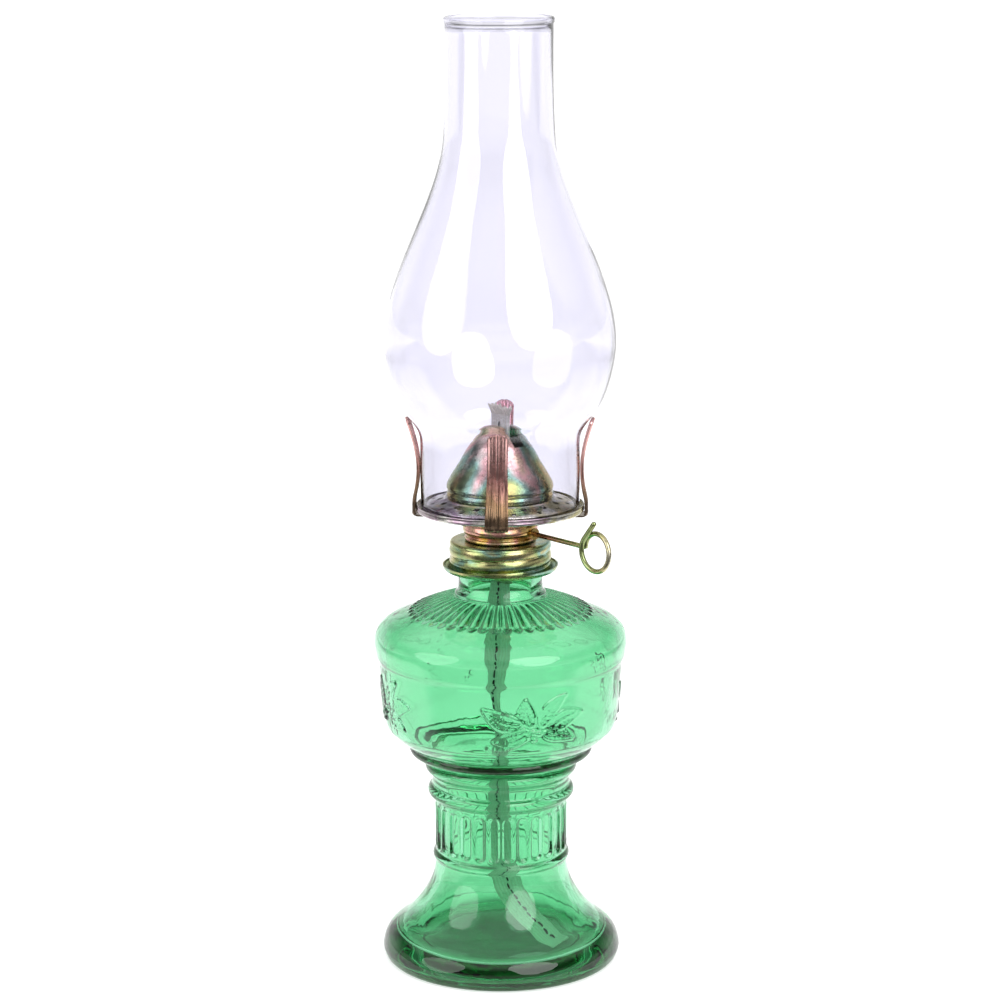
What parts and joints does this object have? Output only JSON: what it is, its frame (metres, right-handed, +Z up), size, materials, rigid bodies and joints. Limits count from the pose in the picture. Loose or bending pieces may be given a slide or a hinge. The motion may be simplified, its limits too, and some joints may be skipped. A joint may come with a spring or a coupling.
{
  "type": "oil table lamp",
  "caption": "Oil table lamp: a pressed glass font on a pedestal foot, a screw-on flat-wick burner with a wick key and a pronged gallery, and a glass chimney.",
  "frame": {"origin": "centre of the foot's underside, on the lamp's axis, at table height", "axes": "+Z up along the lamp's axis; -Y is the side that faces the viewer, and +X the viewer's right, where the wick key points"},
  "size_m": [0.0852, 0.0852, 0.32],
  "materials": {
    "green_glass": "pressed emerald green glass, fire polished",
    "clear_glass": "thin blown clear glass",
    "gasket_rubber": "matt",
    "plated_cap": "yellow chromate plating with an iridescent film, bright",
    "plated_cup": "yellow chromate plating with an iridescent film, bright",
    "plated_gallery": "yellow chromate plating with an iridescent film, bright",
    "plated_dome": "yellow chromate plating with an iridescent film, bright",
    "plated_prong": "yellow chromate plating with an iridescent film, bright",
    "plated_steel": "yellow chromate plating, satin",
    "plain_steel": "plain zinc plating",
    "key_wire": "yellow chromate plating with an iridescent film, bright",
    "wick_cotton": "flat woven cotton with a marker thread"
  },
  "bodies": {
    "font": {"font": "green_glass"},
    "gasket": {"neck_gasket": "gasket_rubber"},
    "burner": {"screw_cap": "plated_cap", "tube_plate": "plated_steel", "burner_cup": "plated_cup", "wick_tube": "plated_steel", "vent_tube": "plated_steel", "shaft_cradle": "plated_steel", "shaft_bush": "plated_steel", "gallery": "plated_gallery", "air_plate": "plated_gallery", "dome": "plated_dome"},
    "prong_right": {"prong_right": "plated_prong"},
    "prong_back": {"prong_back": "plated_prong"},
    "prong_left": {"prong_left": "plated_prong"},
    "prong_front": {"prong_front": "plated_prong"},
    "key": {"wick_key": "key_wire", "spur_wheel_inner": "plain_steel", "spur_wheel_outer": "plain_steel", "shaft_collar": "plain_steel"},
    "wick": {"wick": "wick_cotton", "wick_tail": "wick_cotton"},
    "chimney": {"chimney": "clear_glass"}
  },
  "joints": [
    {"name": "burner_rise", "type": "slide", "parent": "font", "child": "gasket", "axis": [0, 0, 1], "range_m": [0, 0.0046]},
    {"name": "burner_unscrew", "type": "hinge", "parent": "gasket", "child": "burner", "pos_m": [0, 0, 0.14], "axis": [0, 0, 1], "range_deg": [0, 540]},
    {"name": "chimney_lift", "type": "slide", "parent": "burner", "child": "chimney", "axis": [0, 0, 1], "range_m": [0, 0.045]},
    {"name": "key_turn", "type": "hinge", "parent": "burner", "child": "key", "pos_m": [0.0031, 0.0026, 0.1495], "axis": [-0.6428, 0.766, 0], "range_deg": [-144, 108]},
    {"name": "wick_raise", "type": "slide", "parent": "burner", "child": "wick", "axis": [0, 0, 1], "range_m": [-0.008, 0.006], "deforming": ["wick_tail"]},
    {"name": "prong_right_flex", "type": "hinge", "parent": "burner", "child": "prong_right", "pos_m": [0.02898, -0.00101, 0.1556], "axis": [0.0349, 0.9994, 0], "range_deg": [0, 5], "stiffness_Nm_per_rad": 0.05},
    {"name": "prong_back_flex", "type": "hinge", "parent": "burner", "child": "prong_back", "pos_m": [0.00101, 0.02898, 0.1556], "axis": [-0.9994, 0.0349, 0], "range_deg": [0, 5], "stiffness_Nm_per_rad": 0.05},
    {"name": "prong_left_flex", "type": "hinge", "parent": "burner", "child": "prong_left", "pos_m": [-0.02898, 0.00101, 0.1556], "axis": [-0.0349, -0.9994, 0], "range_deg": [0, 5], "stiffness_Nm_per_rad": 0.05},
    {"name": "prong_front_flex", "type": "hinge", "parent": "burner", "child": "prong_front", "pos_m": [-0.00101, -0.02898, 0.1556], "axis": [0.9994, -0.0349, 0], "range_deg": [0, 5], "stiffness_Nm_per_rad": 0.05}
  ],
  "couplings": [
    {"joint": "burner_rise", "follows": "burner_unscrew", "m_per_rad": 0.00047746},
    {"joint": "key_turn", "follows": "wick_raise", "rad_per_m": 312.5}
  ]
}
